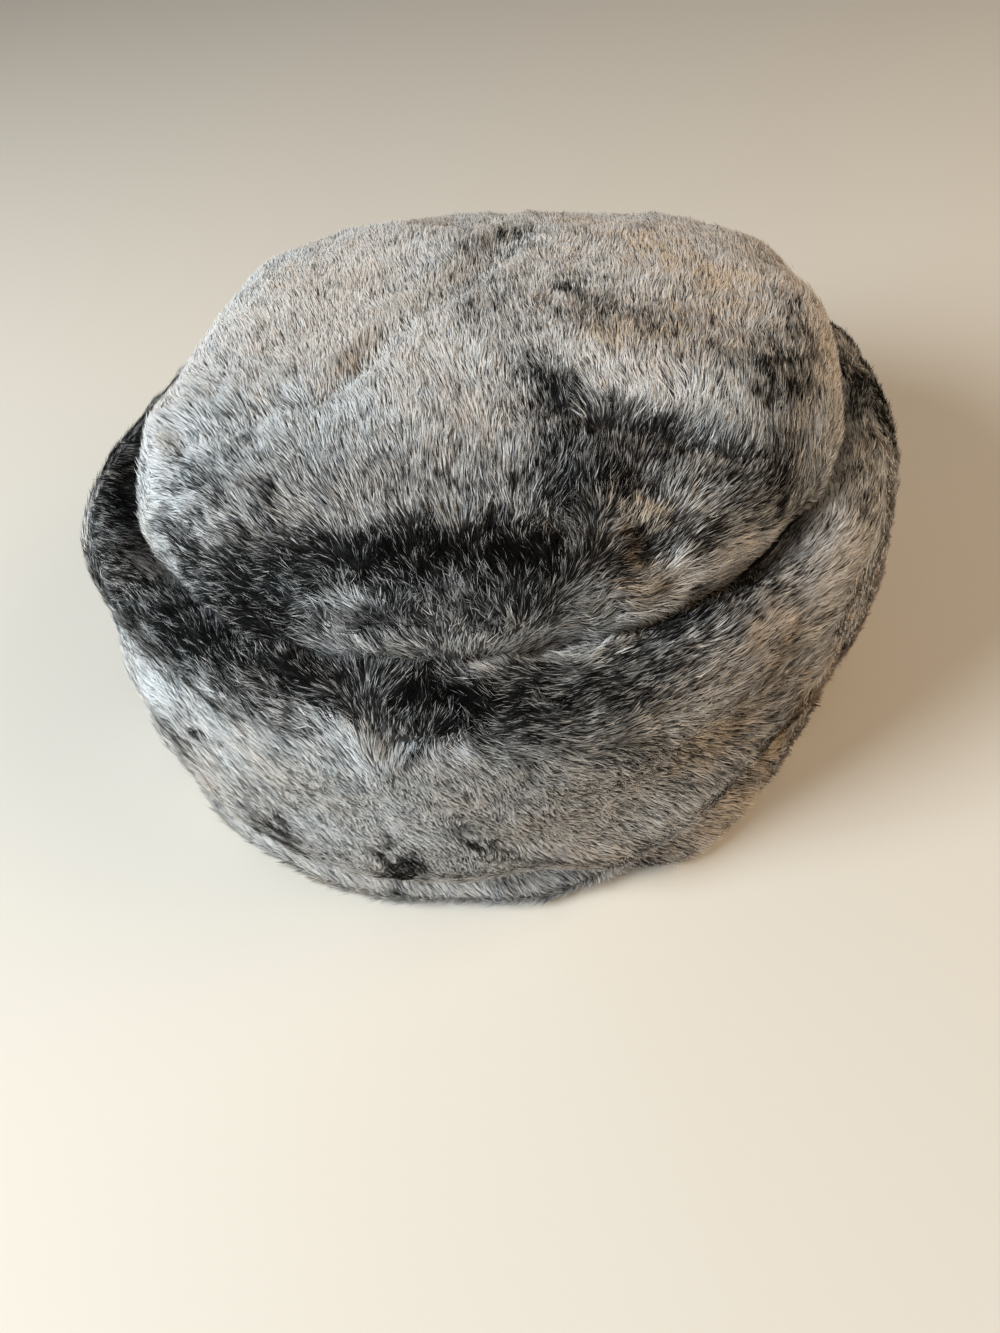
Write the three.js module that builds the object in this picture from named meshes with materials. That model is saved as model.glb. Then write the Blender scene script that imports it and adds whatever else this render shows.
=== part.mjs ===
// A round fur hat that stands on its open base: a puffed crown sewn into a rolled side band.
// Millimetres, +Z up, with the origin at the middle of the base.
// Each wall is cloth, its padding and the short pile as it lies, so its outer face is the fur's outer form.
import * as THREE from "three";

// Driving sizes
const WIDEST_RADIUS = 120;
const TOP_HEIGHT = 121;
const SEAM_RADIUS = 100;
const SEAM_HEIGHT = 84;
const SEAM_GAP = 0.6;
const SEWN_IN = 8;
const WALL = 10;

// Facets round the hat, and points along each outer, inner and sewn run of a section.
const SEGMENTS = 96;
const BAND_STEPS = 16;
const CROWN_STEPS = 12;
const INNER_STEPS = 7;
const SEWN_STEPS = 4;
const DEGREE = Math.PI / 180;

// The plan is a slight oval, longer from the front left to the back right, as a worn hat keeps a head's form.
const OVAL = { share: 0.036, azimuth: 45 };

// How far the seam's ring stands off the base's middle, because the soft wall leans back a little.
const LEAN = { x: 1, y: 5 };

// The seam's outer line, and its inner line where both walls are turned in and sewn.
const SEAM = { name: "seam", height: SEAM_HEIGHT, radius: SEAM_RADIUS };
const SEAM_INSIDE = { name: "seam_inside", height: SEAM_HEIGHT - SEWN_IN, radius: SEAM_RADIUS - SEWN_IN };

// Outer sections of the side band, from the base rim up to the crown seam.
const BAND_SECTIONS = [
  { name: "rim_foot", height: 0, radius: 109 },
  { name: "rim", height: 5, radius: 113 },
  { name: "tuck", height: 13, radius: 112.5 },
  { name: "lower_wall", height: 26, radius: 115.5 },
  { name: "wall", height: 50, radius: 118.5 },
  { name: "widest", height: 72, radius: WIDEST_RADIUS },
  { name: "roll", height: 84, radius: 115.5 },
  { name: "roll_top", height: 88, radius: 108 },
  SEAM,
];

// Inner sections of the side band, from the seam down to the base rim.
const BAND_INSIDE = [
  SEAM_INSIDE,
  { name: "roll_inside", height: 76, radius: 103 },
  { name: "widest_inside", height: 66, radius: 108.5 },
  { name: "wall_inside", height: 45, radius: 108 },
  { name: "lower_inside", height: 20, radius: 104 },
  { name: "rim_inside", height: 0, radius: 99 },
];

// Outer sections of the crown, from the seam to the middle of the top.
const CROWN_SECTIONS = [
  SEAM,
  { name: "puff", height: 93, radius: 103 },
  { name: "shoulder", height: 105, radius: 98 },
  { name: "top_edge", height: 114, radius: 82 },
  { name: "top_slope", height: TOP_HEIGHT - 2, radius: 50 },
  { name: "top", height: TOP_HEIGHT, radius: 0 },
];

// Inner sections of the crown, from the middle of the top down to the seam.
const CROWN_INSIDE = [
  { name: "top_inside", height: TOP_HEIGHT - WALL, radius: 0 },
  { name: "slope_inside", height: TOP_HEIGHT - WALL - 2, radius: 48 },
  { name: "edge_inside", height: 105, radius: 76 },
  { name: "shoulder_inside", height: 98, radius: 89 },
  { name: "puff_inside", height: 89, radius: 92.5 },
  SEAM_INSIDE,
];

// Swells (out above 0) and folds (out below 0) of the wall, each round an azimuth and a height.
const SWELLS = [
  { name: "flat_back", azimuth: 78, span: 34, height: 112, reach: 26, out: -7.5 },
  { name: "flat_left_crown", azimuth: 171, span: 30, height: 104, reach: 20, out: -11 },
  { name: "back_left_corner", azimuth: 126, span: 20, height: 108, reach: 22, out: 4 },
  { name: "right_crown_edge", azimuth: 2, span: 22, height: 98, reach: 12, out: -3.5 },
  { name: "left_roll", azimuth: -178, span: 24, height: 73, reach: 11, out: 3 },
  { name: "left_fold", azimuth: -140, span: 15, height: 66, reach: 11, out: -8 },
  { name: "left_wall", azimuth: -142, span: 24, height: 30, reach: 18, out: 2 },
  { name: "right_bulge", azimuth: -30, span: 22, height: 52, reach: 22, out: 2 },
  { name: "right_under", azimuth: -47, span: 20, height: 20, reach: 14, out: -7 },
  { name: "right_foot", azimuth: -45, span: 16, height: 0, reach: 12, out: -3.5 },
  { name: "right_lobe", azimuth: -66, span: 9, height: 5, reach: 9, out: 4 },
  { name: "front_tuck", azimuth: -88, span: 42, height: 12, reach: 4.5, out: -3 },
  { name: "front_lip", azimuth: -78, span: 18, height: 20, reach: 6, out: 1.5 },
  { name: "front_dimple", azimuth: -104, span: 7, height: 77, reach: 7, out: -3 },
  { name: "parting_ridge", azimuth: -113, span: 7, height: 73, reach: 10, out: 1.5 },
];

// Dents of the crown, each a long hollow in plan, turned from the X axis and sunk by its depth.
const DENTS = [
  { name: "front_valley", x: -14, y: -82, turn: 3, length: 60, width: 13, depth: 6 },
  { name: "front_pinch", x: 30, y: -86, turn: 80, length: 14, width: 6, depth: 3 },
  { name: "left_furrow", x: -38, y: 8, turn: 34, length: 55, width: 13, depth: 2.5 },
  { name: "right_ridge", x: 38, y: -40, turn: -24, length: 34, width: 12, depth: -2.5 },
  { name: "right_hollow", x: 28, y: -62, turn: -20, length: 34, width: 11, depth: 2.5 },
  { name: "back_slope", x: 20, y: 70, turn: -10, length: 60, width: 22, depth: 3 },
];

// Up to the first height a dent doesn't reach, so the base stays flat. From the second it has its full depth.
const DENT_FADE = { from: 20, to: 84 };

const bell = (t) => Math.exp(-t * t);

function turnBetween(azimuth, other) {
  return THREE.MathUtils.euclideanModulo(azimuth - other + 180, 360) - 180;
}

function outwardShift(azimuth, radius, height) {
  let shift = radius * OVAL.share * Math.cos(2 * (azimuth - OVAL.azimuth) * DEGREE);
  for (const swell of SWELLS) {
    const round = bell(turnBetween(azimuth, swell.azimuth) / swell.span);
    const along = bell((height - swell.height) / swell.reach);
    shift += swell.out * round * along * Math.min(1, radius / SEAM_RADIUS);
  }
  return shift;
}

function sinkAt(x, y, height) {
  let sink = 0;
  for (const dent of DENTS) {
    const turn = dent.turn * DEGREE;
    const along = (x - dent.x) * Math.cos(turn) + (y - dent.y) * Math.sin(turn);
    const across = (y - dent.y) * Math.cos(turn) - (x - dent.x) * Math.sin(turn);
    sink += dent.depth * bell(along / dent.length) * bell(across / dent.width);
  }
  return sink * THREE.MathUtils.smoothstep(height, DENT_FADE.from, DENT_FADE.to);
}

// Moves a point of the round form to its place in the soft hat.
function soften(point) {
  const radius = Math.hypot(point.x, point.y);
  const azimuth = Math.atan2(point.y, point.x) / DEGREE;
  const scale = radius > 0 ? 1 + outwardShift(azimuth, radius, point.z) / radius : 1;
  const x = point.x * scale;
  const y = point.y * scale;
  const lean = Math.min(1, point.z / SEAM_HEIGHT);
  point.set(x + LEAN.x * lean, y + LEAN.y * lean, point.z - sinkAt(x, y, point.z));
}

// A smooth run of points through the sections, evenly spaced.
function throughSections(sections, steps) {
  const knots = sections.map((section) => new THREE.Vector2(section.radius, section.height));
  return new THREE.SplineCurve(knots).getSpacedPoints(steps);
}

// The points between the seam's outer and inner lines, where the two walls face each other.
function sewnEdge() {
  const outer = new THREE.Vector2(SEAM.radius, SEAM.height);
  const inner = new THREE.Vector2(SEAM_INSIDE.radius, SEAM_INSIDE.height);
  const points = [];
  for (let step = 1; step < SEWN_STEPS; step += 1) {
    points.push(outer.clone().lerp(inner, step / SEWN_STEPS));
  }
  return points;
}

// Turns a profile round the Z axis and softens it.
function softWall(profile) {
  const geometry = new THREE.LatheGeometry(profile, SEGMENTS);
  geometry.rotateX(Math.PI / 2);
  const place = geometry.getAttribute("position");
  const point = new THREE.Vector3();
  for (let index = 0; index < place.count; index += 1) {
    point.fromBufferAttribute(place, index);
    soften(point);
    place.setXYZ(index, point.x, point.y, point.z);
  }
  geometry.computeVertexNormals();
  return geometry;
}

function furPiece(name, profile, color) {
  const material = new THREE.MeshStandardMaterial({ color, roughness: 0.9, metalness: 0 });
  const mesh = new THREE.Mesh(softWall(profile), material);
  mesh.name = name;
  return mesh;
}

function sideBand() {
  const outside = throughSections(BAND_SECTIONS, BAND_STEPS);
  const inside = throughSections(BAND_INSIDE, INNER_STEPS);
  return furPiece("side_band", [...outside, ...sewnEdge(), ...inside, outside[0].clone()], 0x8d8783);
}

function crown() {
  const inside = throughSections(CROWN_INSIDE, INNER_STEPS);
  const outside = throughSections(CROWN_SECTIONS, CROWN_STEPS);
  const mesh = furPiece("crown", [...inside, ...sewnEdge().reverse(), ...outside], 0x9b9590);
  mesh.position.z = SEAM_GAP;
  return mesh;
}

const hat = new THREE.Group();
hat.add(sideBand(), crown());

// The origin is the middle of the hat's box, seen from above.
const middle = new THREE.Box3().setFromObject(hat).getCenter(new THREE.Vector3());
for (const mesh of hat.children) {
  mesh.position.x -= middle.x;
  mesh.position.y -= middle.y;
}

export default hat;
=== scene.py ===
import bpy
import numpy as np
from mathutils import Euler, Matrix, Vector


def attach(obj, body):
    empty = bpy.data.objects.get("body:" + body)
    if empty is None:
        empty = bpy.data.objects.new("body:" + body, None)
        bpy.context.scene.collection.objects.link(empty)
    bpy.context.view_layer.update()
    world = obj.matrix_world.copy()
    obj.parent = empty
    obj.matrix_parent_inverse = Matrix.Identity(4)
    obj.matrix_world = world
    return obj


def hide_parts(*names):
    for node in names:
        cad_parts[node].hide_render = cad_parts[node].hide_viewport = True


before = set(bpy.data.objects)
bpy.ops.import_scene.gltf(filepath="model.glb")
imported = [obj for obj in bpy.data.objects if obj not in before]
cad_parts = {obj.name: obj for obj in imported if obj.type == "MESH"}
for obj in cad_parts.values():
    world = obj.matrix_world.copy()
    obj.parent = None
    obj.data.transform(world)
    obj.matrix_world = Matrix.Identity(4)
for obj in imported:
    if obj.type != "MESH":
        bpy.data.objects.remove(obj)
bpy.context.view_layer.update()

# The hat's form in metres and degrees, as its solids have it
SEAM_RADIUS = 0.100
SEAM_HEIGHT = 0.084
SEAM_GAP = 0.0006
SEWN_IN = 0.008
TOP_HEIGHT = 0.121
WALL = 0.010
AXIS = {"x": 0.00025, "y": -0.00384}
OVAL = {"share": 0.036, "azimuth": 45}
LEAN = {"x": 0.001, "y": 0.005}
DENT_FADE = {"from": 0.020, "to": 0.084}
SEAM = {"name": "seam", "height": SEAM_HEIGHT, "radius": SEAM_RADIUS}
SEAM_INSIDE = {"name": "seam_inside", "height": SEAM_HEIGHT - SEWN_IN, "radius": SEAM_RADIUS - SEWN_IN}
BAND_SECTIONS = (
    {"name": "rim_foot", "height": 0, "radius": 0.109},
    {"name": "rim", "height": 0.005, "radius": 0.113},
    {"name": "tuck", "height": 0.013, "radius": 0.1125},
    {"name": "lower_wall", "height": 0.026, "radius": 0.1155},
    {"name": "wall", "height": 0.050, "radius": 0.1185},
    {"name": "widest", "height": 0.072, "radius": 0.120},
    {"name": "roll", "height": 0.084, "radius": 0.1155},
    {"name": "roll_top", "height": 0.088, "radius": 0.108},
    SEAM,
)
BAND_INSIDE = (
    SEAM_INSIDE,
    {"name": "roll_inside", "height": 0.076, "radius": 0.103},
    {"name": "widest_inside", "height": 0.066, "radius": 0.1085},
    {"name": "wall_inside", "height": 0.045, "radius": 0.108},
    {"name": "lower_inside", "height": 0.020, "radius": 0.104},
    {"name": "rim_inside", "height": 0, "radius": 0.099},
)
CROWN_SECTIONS = (
    SEAM,
    {"name": "puff", "height": 0.093, "radius": 0.103},
    {"name": "shoulder", "height": 0.105, "radius": 0.098},
    {"name": "top_edge", "height": 0.114, "radius": 0.082},
    {"name": "top_slope", "height": TOP_HEIGHT - 0.002, "radius": 0.050},
    {"name": "top", "height": TOP_HEIGHT, "radius": 0},
)
CROWN_INSIDE = (
    SEAM_INSIDE,
    {"name": "puff_inside", "height": 0.089, "radius": 0.0925},
    {"name": "shoulder_inside", "height": 0.098, "radius": 0.089},
    {"name": "edge_inside", "height": 0.105, "radius": 0.076},
    {"name": "slope_inside", "height": TOP_HEIGHT - WALL - 0.002, "radius": 0.048},
    {"name": "top_inside", "height": TOP_HEIGHT - WALL, "radius": 0},
)
SWELLS = (
    {"name": "flat_back", "azimuth": 78, "span": 34, "height": 0.112, "reach": 0.026, "out": -0.0075},
    {"name": "flat_left_crown", "azimuth": 171, "span": 30, "height": 0.104, "reach": 0.020, "out": -0.011},
    {"name": "back_left_corner", "azimuth": 126, "span": 20, "height": 0.108, "reach": 0.022, "out": 0.004},
    {"name": "right_crown_edge", "azimuth": 2, "span": 22, "height": 0.098, "reach": 0.012, "out": -0.0035},
    {"name": "left_roll", "azimuth": -178, "span": 24, "height": 0.073, "reach": 0.011, "out": 0.003},
    {"name": "left_fold", "azimuth": -140, "span": 15, "height": 0.066, "reach": 0.011, "out": -0.008},
    {"name": "left_wall", "azimuth": -142, "span": 24, "height": 0.030, "reach": 0.018, "out": 0.002},
    {"name": "right_bulge", "azimuth": -30, "span": 22, "height": 0.052, "reach": 0.022, "out": 0.002},
    {"name": "right_under", "azimuth": -47, "span": 20, "height": 0.020, "reach": 0.014, "out": -0.007},
    {"name": "right_foot", "azimuth": -45, "span": 16, "height": 0, "reach": 0.012, "out": -0.0035},
    {"name": "right_lobe", "azimuth": -66, "span": 9, "height": 0.005, "reach": 0.009, "out": 0.004},
    {"name": "front_tuck", "azimuth": -88, "span": 42, "height": 0.012, "reach": 0.0045, "out": -0.003},
    {"name": "front_lip", "azimuth": -78, "span": 18, "height": 0.020, "reach": 0.006, "out": 0.0015},
    {"name": "front_dimple", "azimuth": -104, "span": 7, "height": 0.077, "reach": 0.007, "out": -0.003},
    {"name": "parting_ridge", "azimuth": -113, "span": 7, "height": 0.073, "reach": 0.010, "out": 0.0015},
)
DENTS = (
    {"name": "front_valley", "x": -0.014, "y": -0.082, "turn": 3,
     "length": 0.060, "width": 0.013, "depth": 0.006},
    {"name": "front_pinch", "x": 0.030, "y": -0.086, "turn": 80,
     "length": 0.014, "width": 0.006, "depth": 0.003},
    {"name": "left_furrow", "x": -0.038, "y": 0.008, "turn": 34,
     "length": 0.055, "width": 0.013, "depth": 0.0025},
    {"name": "right_ridge", "x": 0.038, "y": -0.040, "turn": -24,
     "length": 0.034, "width": 0.012, "depth": -0.0025},
    {"name": "right_hollow", "x": 0.028, "y": -0.062, "turn": -20,
     "length": 0.034, "width": 0.011, "depth": 0.0025},
    {"name": "back_slope", "x": 0.020, "y": 0.070, "turn": -10,
     "length": 0.060, "width": 0.022, "depth": 0.003},
)

# Swells of the band's pile that the solids don't have
PILE_SWELLS = (
    {"name": "tuck_filled_left", "azimuth": -118, "span": 22,
     "height": 0.012, "reach": 0.0045, "out": 0.0019},
)

# How finely the form is worked out
CURVE_STEPS = 40
PROFILE_STEPS = 400
TANGENT_STEP = {"turn": 0.25, "share": 0.002}
SCATTER_STEPS = {"per_degree": 2, "up": 200}
SKIN_STEPS = {"around": 240, "outside": 40, "inside": 10}
# The crown's skin ends this share short of its middle, so that its last faces keep an area
SHORT_OF_TOP = 1e-4
# The least length that a vector is divided by
TINY = 1e-12

# The photo's frame and the camera that took it
PHOTO = {"width": 1000, "height": 1333}
CAMERA = {
    "x": -0.00395, "y": -0.25884, "z": 0.2495, "down": 46.5, "roll": -6.0,
    "lens": 27.0, "sensor": 36.0, "clip_start": 0.01,
}

# The pile: how deep its roots lie, how long and broad its hairs are, and how many there are
PILE_DEPTH = 0.0016
HAIR_LENGTH = 0.0048
HAIR_WIDTH = 0.00023
HAIRS_IN_LOCK = 2
POINTS_IN_HAIR = 4
LOCKS_PER_M2 = 1.88e6
LOWEST_HAIR = 0.0003

# The pile is thinner and shorter at the seam, apart from the front, where it covers the seam
SEAM_PILE = {"reach": 0.010, "less_depth": 0.6, "less_length": 0.45}
SEAM_COVERED = {"azimuth": -95, "span": 34, "share": 0.8}

# A hair's lower part stands and its upper part lies, in degrees over the cloth and shares of its length
LOWER_PART = {"angle": 33, "spread": 6, "share": 0.45}
UPPER_PART = {"angle": 6, "spread": 4, "share": 0.55}
MESSY_LIFT = 10

# How a lock differs from what is charted for its place
SWIRL = {"messy": 4, "spread": 0.07, "messy_spread": 0.30}
TONE_SPREAD = 0.75
TINT_SPREAD = 0.10
LENGTH_SPREAD = 0.10
FLECKS = {"over": 1.1, "dark": 1.4}

# How a hair differs from its lock, in metres, radians and shares
HAIR_SPREAD = {
    "slide": 0.0005, "drift": 0.00012, "turn": 0.06, "messy_turn": 0.15,
    "length": 0.10, "tone": 0.05, "twist": 0.5, "width": 0.15,
}
TONE_LIMITS = (0.02, 0.98)

# Silver hairs among darker ones: how many they are and how light
SILVER = {"least": 0.03, "rise": 2.2, "most": 0.42, "breadth": 0.65}
SILVER_TONE = {"least": 0.34, "rise": 0.22, "full_at": 0.08, "spread": 0.30}

# How far along the shading from root to tip a hair's bend comes, in the lightest pile
BEND = {"most": 0.45, "full_at": 0.7}

# A hair is shaded as the cloth under it is, leaned back a little from the way it lies
NORMAL_LEAN = 0.15

# The bake map has one strip for each step of tint, and keeps the two sides of a hair apart
TINTS = 8
STRIP_EDGE = 0.05
TONE_STEP = 0.004

# The nap of the cloth where nothing is charted: to the back on the crown, and up and round on the band
CROWN_NAP = np.array([0.0, 1.0, 0.0])
BAND_NAP = {"up": 0.8, "back": 0.5}

# The chart counts where a comb is near and the cloth faces the camera, by the cosine of the angle between
COMB_NEAR = 0.02
FACING = {"least": 0.2, "from": 0.15, "over": 0.25}

# Over this span of azimuth more and more of the band's locks lie opposite to the chart, and beyond it all do
TURNED = {"from": -86, "span": 26}

# The band's folds end at its sides, and its guessed mottling begins there, by the sine of the azimuth
FOLDS_END = {"at": 0.15, "over": 0.3}
MOTTLE_BEGINS = {"at": 0.1, "over": 0.4}

# Darker pile on the hidden sides: a dark streak just under the seam, and mottled dark clouds
STREAK = {"reach": 0.017, "wander": 0.003, "level": 0.65, "rough": 0.25, "dark": 0.82}
CLOUDS = {"level": 0.9, "rough": 0.5, "dark": 0.6}
MOST_DARK = 0.90

# How square a charted patch is: 1 is a bell, and more has a flatter middle and a sharper edge
PATCH_SQUARENESS = 1.2

# Smooth random fields: the size that each changes over in metres, its seed, and how much it counts for
FIELD_COLUMNS = ("name", "size", "seed", "weight")
FIELD_ROWS = (
    ("wave", 0.022, 61, 0.0005),
    ("ragged_x", 0.006, 11, 5),
    ("ragged_x_fine", 0.002, 12, 4),
    ("ragged_y", 0.006, 13, 5),
    ("ragged_y_fine", 0.002, 14, 5),
    ("swirl", 0.006, 21, 0.10),
    ("swirl_fine", 0.0025, 22, 0.06),
    ("tone", 0.0035, 31, 0.30),
    ("flecks", 0.0016, 32, 1),
    ("tint", 0.018, 41, 0.08),
    ("tint_fine", 0.004, 42, 0.06),
    ("length", 0.004, 51, 0.12),
    ("streak", 0.030, 71, 0.5),
    ("clouds", 0.020, 72, 0.8),
    ("rough", 0.007, 73, 1),
    ("rough_fine", 0.003, 74, 0.7),
)
LATTICE = {"side": 64, "shift": 500, "spread": 0.17}

# Greys and tints of the pile at its tips and roots, by tone and by tint
TIP_GREYS = (
    (0.0, 0.002), (0.15, 0.006), (0.32, 0.07), (0.5, 0.22), (0.75, 0.49), (0.9, 0.71), (1.0, 0.88),
)
ROOT_GREYS = ((0.0, 0.002), (0.5, 0.018), (0.8, 0.15), (1.0, 0.40))
TIP_TINTS = (
    (0.0, (0.90, 0.96, 1.0)),
    (0.3, (0.97, 0.985, 1.0)),
    (0.55, (1.0, 0.97, 0.935)),
    (0.8, (1.0, 0.93, 0.88)),
    (1.0, (1.0, 0.80, 0.56)),
)
ROOT_TINTS = ((0.0, (0.88, 0.96, 1.0)), (0.5, (1.0, 0.96, 0.92)), (1.0, (1.0, 0.80, 0.62)))

# Where the tip's colour begins along a hair of tone 0, and over how much of the hair it comes in
TIP = {"begins": 0.50, "over": 0.35}
PILE_LOOK = {"roughness": 0.60, "specular": 0.04}

# The underfur, the knitted backing and the table
UNDERFUR_GREYS = ((0.0, 0.002), (0.5, 0.05), (0.8, 0.22), (1.0, 0.40))
UNDERFUR_SPECKLE = ((0.3, (0.45, 0.45, 0.47)), (0.7, (1.0, 0.96, 0.92)))
UNDERFUR_LOOK = {"roughness": 0.9, "noise": 900}
BACKING_SPECKLE = ((0.3, (0.05, 0.05, 0.052)), (0.7, (0.10, 0.098, 0.096)))
BACKING_LOOK = {"roughness": 0.85, "noise": 500}
FLOOR_LOOK = {"colour": (0.80, 0.76, 0.69), "roughness": 0.55, "specular": 0.3}
FLOOR_HALF = 3.0

# The lights
LIGHTS = (
    {"name": "window", "place": (-0.95, -0.45, 0.75), "size": 0.6, "power": 19, "colour": (0.90, 0.97, 1.0)},
    {"name": "room", "place": (1.0, -0.2, 0.8), "size": 1.0, "power": 7, "colour": (1.0, 0.72, 0.44)},
)
LIT_PLACE = (0, 0, 0.05)
ROOM_LIGHT = {"colour": (1.0, 0.93, 0.84), "strength": 0.20}

# Where a mix node's colour sockets are, since it has sockets of the same name for each kind of value
MIX_FACTOR, MIX_A, MIX_B, MIX_RESULT = 0, 6, 7, 2
RAMP_MIDDLE = 0.5

# The charts of the pile, as ovals and places in the photo's pixels and degrees
PATCH_COLUMNS = ("name", "on", "x", "y", "turn", "long", "wide", "value")

# How light the pile is, from 0 for black to 1 for cream. Some rows also paint in shade, shadow and
# highlight: those named for them and those marked below
PATCH_ROWS = (
    ("crown_left", "crown", 235, 440, -35, 75, 50, 0.81),
    ("crown_back_left", "crown", 320, 290, -22, 120, 45, 0.95),
    ("crown_back_middle", "crown", 495, 330, 75, 95, 34, 0.74),
    ("crown_lower", "crown", 390, 485, 0, 250, 40, 0.70),
    ("front_dark", "crown", 405, 568, 2, 215, 38, 0.055),
    ("front_left_dark", "crown", 262, 606, 30, 72, 44, 0.06),
    ("front_left_spot", "crown", 275, 495, 30, 26, 16, 0.35),
    ("front_tufts", "crown", 420, 622, 2, 92, 22, 0.30),
    ("front_tuft_left", "crown", 354, 612, 60, 24, 14, 0.86),
    ("front_tuft_middle", "crown", 455, 612, -20, 26, 9, 0.60),
    ("front_darkest", "crown", 522, 558, 4, 100, 32, 0.006),
    ("seam_dark", "crown", 522, 608, 5, 28, 15, 0.08),
    ("lobe_shadow", "crown", 632, 440, 18, 100, 30, 0.26),
    ("lobe_shadow_corner", "crown", 566, 396, 35, 34, 16, 0.20),
    ("lobe_shadow_foot", "crown", 572, 486, 90, 52, 46, 0.20),
    ("lobe_shadow_middle", "crown", 600, 470, 0, 26, 10, 0.25),
    ("tuft_shadow", "crown", 622, 497, 5, 40, 15, 0.07),
    ("right_mottle", "crown", 765, 485, 0, 60, 50, 0.32),
    ("right_front_dark", "crown", 690, 545, 10, 55, 24, 0.30),
    ("lobe_low", "crown", 690, 352, 12, 110, 38, 0.80),
    ("lobe_lip", "crown", 655, 388, 17, 100, 11, 0.93),
    ("right_spot", "crown", 778, 386, 58, 38, 20, 0.15),
    ("right_streak", "crown", 805, 345, 70, 50, 10, 0.55),
    ("lobe_grey", "crown", 620, 318, 8, 70, 15, 0.60),
    ("lobe_spot", "crown", 575, 292, 40, 14, 9, 0.12),
    # Painted shade in a small crease at the crown's back
    ("back_crease", "crown", 512, 243, -8, 30, 8, 0.35),
    ("left_grey", "crown", 207, 488, 60, 34, 15, 0.45),
    # Painted shade in the crease inside the crown's left rim
    ("left_streak", "crown", 183, 534, 54, 30, 8, 0.08),
    # Paler rim along the crown's left outline: painted sheen where the hair tips catch the light
    ("left_rim_back", "crown", 198, 350, -55, 75, 16, 0.95),
    ("left_rim", "crown", 159, 460, 90, 66, 12, 0.93),
    ("left_rim_front", "crown", 174, 556, 66, 38, 9, 0.94),
    ("front_left_rim", "crown", 262, 634, 33, 62, 18, 0.06),
    # Paler ridge under the furrow: painted highlight where the ridge turns to the light
    ("furrow_light", "crown", 200, 428, -15, 36, 16, 0.95),
    ("furrow_light_middle", "crown", 385, 392, -38, 70, 20, 0.94),
    ("middle_light", "crown", 478, 370, 60, 36, 15, 0.94),
    ("cream_tuft", "crown", 645, 520, 30, 18, 12, 0.86),
    # Painted shadow in the hollow between the cream tufts
    ("brown_hollow", "crown", 640, 550, 0, 24, 12, 0.12),
    ("cream_tuft_low", "crown", 640, 588, -25, 34, 14, 0.80),
    # Paler strips along the seam: painted highlight where the crown's lower edge catches the light
    ("seam_strip", "crown", 440, 653, 0, 105, 10, 0.76),
    ("seam_strip_right", "crown", 590, 630, -30, 60, 12, 0.66),
    ("seam_strip_far", "crown", 725, 567, -18, 62, 16, 0.90),
    ("right_rim", "crown", 812, 470, 110, 60, 12, 0.80),
    ("band_right_mottle", "side_band", 725, 620, -40, 130, 38, 0.48),
    ("band_right_streak", "side_band", 690, 612, -32, 95, 13, 0.22),
    # Partly the band's grey-brown pile, partly painted shade on the side turned from the window
    ("band_right_low", "side_band", 775, 710, -50, 140, 52, 0.70),
    ("band_front_right", "side_band", 560, 692, -12, 95, 32, 0.16),
    ("band_right_flecks", "side_band", 600, 745, 5, 90, 24, 0.62),
    ("band_front_dark", "side_band", 436, 705, 2, 130, 48, 0.005),
    ("band_left_dark", "side_band", 126, 490, 94, 128, 38, 0.05),
    # Paler edge along the band's left outline: painted sheen of the hair tips
    ("left_outline", "side_band", 84, 540, 82, 75, 8, 0.80),
    ("band_left_corner", "side_band", 190, 640, 40, 110, 38, 0.06),
    ("band_left_front", "side_band", 290, 675, 16, 75, 32, 0.04),
    ("band_back_right", "side_band", 872, 405, 68, 46, 18, 0.12),
    ("band_far_right", "side_band", 862, 480, 80, 60, 26, 0.62),
    # Painted shade in the groove where the crown meets the band on the right
    ("band_groove_right", "side_band", 828, 345, 66, 55, 8, 0.10),
    # Paler edges along the band's outlines: painted sheen of the hair tips
    ("right_outline", "side_band", 893, 500, 98, 80, 9, 0.975),
    ("right_outline_low", "side_band", 828, 685, 118, 110, 10, 0.975),
    ("left_outline_low", "side_band", 152, 700, 60, 85, 12, 0.98),
    ("ridge_shade", "side_band", 318, 728, 35, 45, 14, 0.60),
    ("band_low_left", "side_band", 262, 790, 32, 70, 32, 0.88),
    ("parting_ridge", "side_band", 372, 762, 48, 46, 23, 0.99),
    # Painted shade in the dimple
    ("dimple", "side_band", 412, 757, 15, 16, 9, 0.10),
    ("low_spot", "side_band", 402, 872, 12, 24, 11, 0.05),
    ("low_right_spot", "side_band", 482, 850, 15, 28, 8, 0.12),
    ("low_left_spot", "side_band", 285, 838, 35, 38, 10, 0.30),
    ("left_edge_spot", "side_band", 182, 740, 50, 24, 9, 0.30),
    # Painted highlight along the lip's edge, with its painted shadow under it in the next row
    ("bright_lip", "side_band", 575, 860, -4, 66, 8, 0.96),
    ("lip_shadow", "side_band", 600, 884, -8, 80, 8, 0.75),
)

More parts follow.
